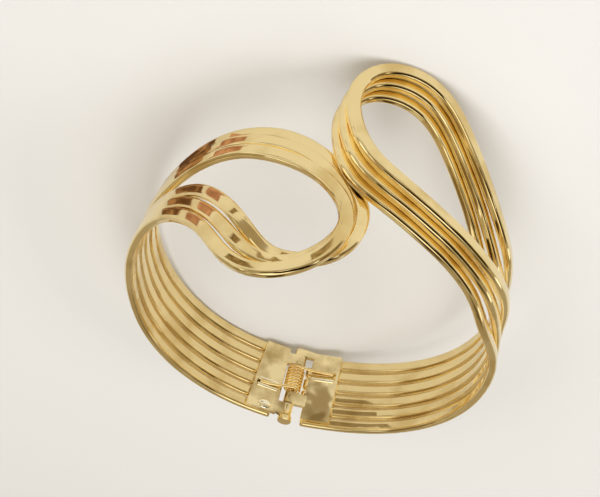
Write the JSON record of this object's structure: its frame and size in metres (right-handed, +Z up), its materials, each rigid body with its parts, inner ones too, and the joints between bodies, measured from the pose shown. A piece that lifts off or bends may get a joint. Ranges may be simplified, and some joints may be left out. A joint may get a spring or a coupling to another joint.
{
  "type": "wrap bracelet",
  "caption": "Sprung wrap bracelet of flat polished metal strips, bent into long loops that cross over the wrist, with a small pin hinge and coil spring at the back.",
  "frame": {"origin": "middle of the bounding box on the surface that the bracelet lies on", "axes": "+Z up, close to the ring's own axis; +Y from the hinge towards the loops; +X to the half called right"},
  "size_m": [0.062, 0.0743, 0.0378],
  "materials": {
    "strips": "mirror polished, gold tone",
    "leaves": "polished, gold tone",
    "pin": "polished, gold tone",
    "spring": "polished, gold tone"
  },
  "bodies": {
    "right_half": {"right_strip_top": "strips", "right_strip_middle": "strips", "right_strip_under": "strips", "right_leaf": "leaves", "hinge_pin": "pin", "hinge_spring": "spring"},
    "left_half": {"left_strip_top": "strips", "left_strip_middle": "strips", "left_strip_under": "strips", "left_leaf": "leaves"}
  },
  "joints": [
    {"name": "hinge", "type": "hinge", "parent": "right_half", "child": "left_half", "pos_m": [-0.0008, -0.03435, 0.00823], "axis": [-0.1149, -0.1537, 0.9814], "range_deg": [0, 45], "stiffness_Nm_per_rad": 0.016, "springref_deg": -17.19, "deforming": ["hinge_spring"]}
  ]
}
